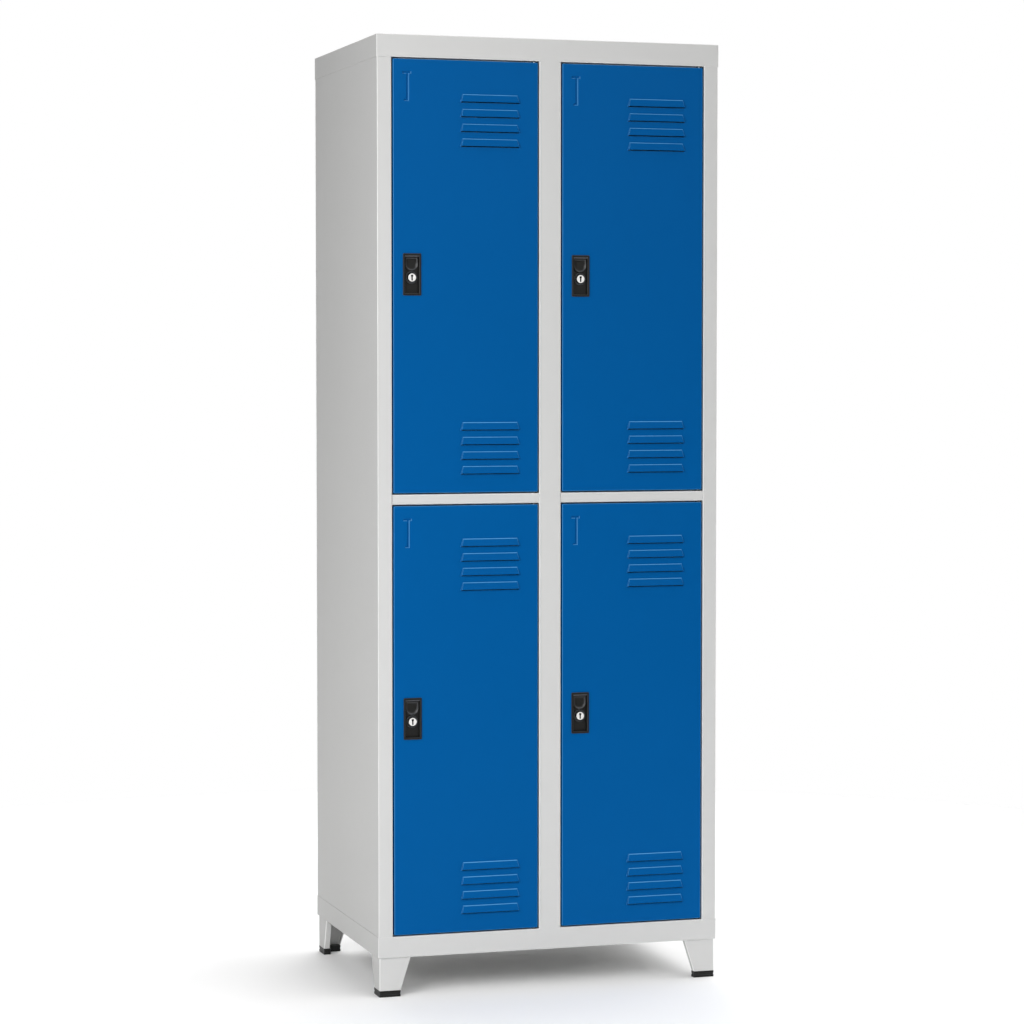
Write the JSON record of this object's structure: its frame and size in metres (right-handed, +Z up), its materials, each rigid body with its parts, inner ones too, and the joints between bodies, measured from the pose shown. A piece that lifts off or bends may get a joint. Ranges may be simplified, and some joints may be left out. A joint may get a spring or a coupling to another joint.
{
  "type": "locker cabinet",
  "caption": "Sheet-steel cloakroom locker on folded corner legs, with lockable vented doors in two columns and two tiers.",
  "frame": {"origin": "on the floor under the middle of the cabinet's box, feet at z = 0", "axes": "+X to the right seen from the front, +Y from the doors to the back panel, +Z up"},
  "size_m": [0.7, 0.504, 1.86],
  "materials": {
    "grey_paint": "light grey smooth semi-matt powder coat on steel sheet",
    "blue_paint": "gentian blue smooth semi-gloss powder coat on steel sheet",
    "black_plastic": "black moulded plastic, fine texture, slight sheen",
    "zinc_plated_steel": "bright zinc-plated steel",
    "nickel_plated_lock": "nickel-plated, turned face",
    "nylon": "black nylon bearing bush"
  },
  "bodies": {
    "carcass": {"top_cap": "grey_paint", "base_tray": "grey_paint", "back_panel": "grey_paint", "centre_post": "grey_paint", "centre_partition": "grey_paint", "leg_front_left": "grey_paint", "foot_front_left": "black_plastic", "leg_front_right": "grey_paint", "foot_front_right": "black_plastic", "leg_rear_left": "grey_paint", "foot_rear_left": "black_plastic", "leg_rear_right": "grey_paint", "foot_rear_right": "black_plastic", "side_panel_left": "grey_paint", "shelf_left": "grey_paint", "floor_left": "grey_paint", "side_panel_right": "grey_paint", "shelf_right": "grey_paint", "floor_right": "grey_paint", "hinge_bush_top_upper_left": "nylon", "hinge_bush_bottom_upper_left": "nylon", "coat_hook_upper_left": "zinc_plated_steel", "hinge_bush_top_lower_left": "nylon", "hinge_bush_bottom_lower_left": "nylon", "coat_hook_lower_left": "zinc_plated_steel", "hinge_bush_top_upper_right": "nylon", "hinge_bush_bottom_upper_right": "nylon", "coat_hook_upper_right": "zinc_plated_steel", "hinge_bush_top_lower_right": "nylon", "hinge_bush_bottom_lower_right": "nylon", "coat_hook_lower_right": "zinc_plated_steel"},
    "door_upper_left": {"door_panel_upper_left": "blue_paint", "door_stiffener_upper_left": "blue_paint", "lock_housing_upper_left": "black_plastic", "hinge_pin_top_upper_left": "zinc_plated_steel", "hinge_pin_bottom_upper_left": "zinc_plated_steel"},
    "lock_upper_left": {"lock_cylinder_upper_left": "nickel_plated_lock", "lock_cam_upper_left": "zinc_plated_steel"},
    "door_lower_left": {"door_panel_lower_left": "blue_paint", "door_stiffener_lower_left": "blue_paint", "lock_housing_lower_left": "black_plastic", "hinge_pin_top_lower_left": "zinc_plated_steel", "hinge_pin_bottom_lower_left": "zinc_plated_steel"},
    "lock_lower_left": {"lock_cylinder_lower_left": "nickel_plated_lock", "lock_cam_lower_left": "zinc_plated_steel"},
    "door_upper_right": {"door_panel_upper_right": "blue_paint", "door_stiffener_upper_right": "blue_paint", "lock_housing_upper_right": "black_plastic", "hinge_pin_top_upper_right": "zinc_plated_steel", "hinge_pin_bottom_upper_right": "zinc_plated_steel"},
    "lock_upper_right": {"lock_cylinder_upper_right": "nickel_plated_lock", "lock_cam_upper_right": "zinc_plated_steel"},
    "door_lower_right": {"door_panel_lower_right": "blue_paint", "door_stiffener_lower_right": "blue_paint", "lock_housing_lower_right": "black_plastic", "hinge_pin_top_lower_right": "zinc_plated_steel", "hinge_pin_bottom_lower_right": "zinc_plated_steel"},
    "lock_lower_right": {"lock_cylinder_lower_right": "nickel_plated_lock", "lock_cam_lower_right": "zinc_plated_steel"}
  },
  "joints": [
    {"name": "door_hinge_upper_left", "type": "hinge", "parent": "carcass", "child": "door_upper_left", "pos_m": [-0.03115, -0.241, 1.3966], "axis": [0, 0, 1], "range_deg": [0, 110]},
    {"name": "lock_turn_upper_left", "type": "hinge", "parent": "door_upper_left", "child": "lock_upper_left", "pos_m": [-0.28, -0.247, 1.395], "axis": [0, 1, 0], "range_deg": [0, 90]},
    {"name": "door_hinge_lower_left", "type": "hinge", "parent": "carcass", "child": "door_lower_left", "pos_m": [-0.03115, -0.241, 0.5374], "axis": [0, 0, 1], "range_deg": [0, 110]},
    {"name": "lock_turn_lower_left", "type": "hinge", "parent": "door_lower_left", "child": "lock_lower_left", "pos_m": [-0.28, -0.247, 0.5358], "axis": [0, 1, 0], "range_deg": [0, 90]},
    {"name": "door_hinge_upper_right", "type": "hinge", "parent": "carcass", "child": "door_upper_right", "pos_m": [0.3112, -0.241, 1.3966], "axis": [0, 0, 1], "range_deg": [0, 110]},
    {"name": "lock_turn_upper_right", "type": "hinge", "parent": "door_upper_right", "child": "lock_upper_right", "pos_m": [0.06235, -0.247, 1.395], "axis": [0, 1, 0], "range_deg": [0, 90]},
    {"name": "door_hinge_lower_right", "type": "hinge", "parent": "carcass", "child": "door_lower_right", "pos_m": [0.3112, -0.241, 0.5374], "axis": [0, 0, 1], "range_deg": [0, 110]},
    {"name": "lock_turn_lower_right", "type": "hinge", "parent": "door_lower_right", "child": "lock_lower_right", "pos_m": [0.06235, -0.247, 0.5358], "axis": [0, 1, 0], "range_deg": [0, 90]}
  ]
}
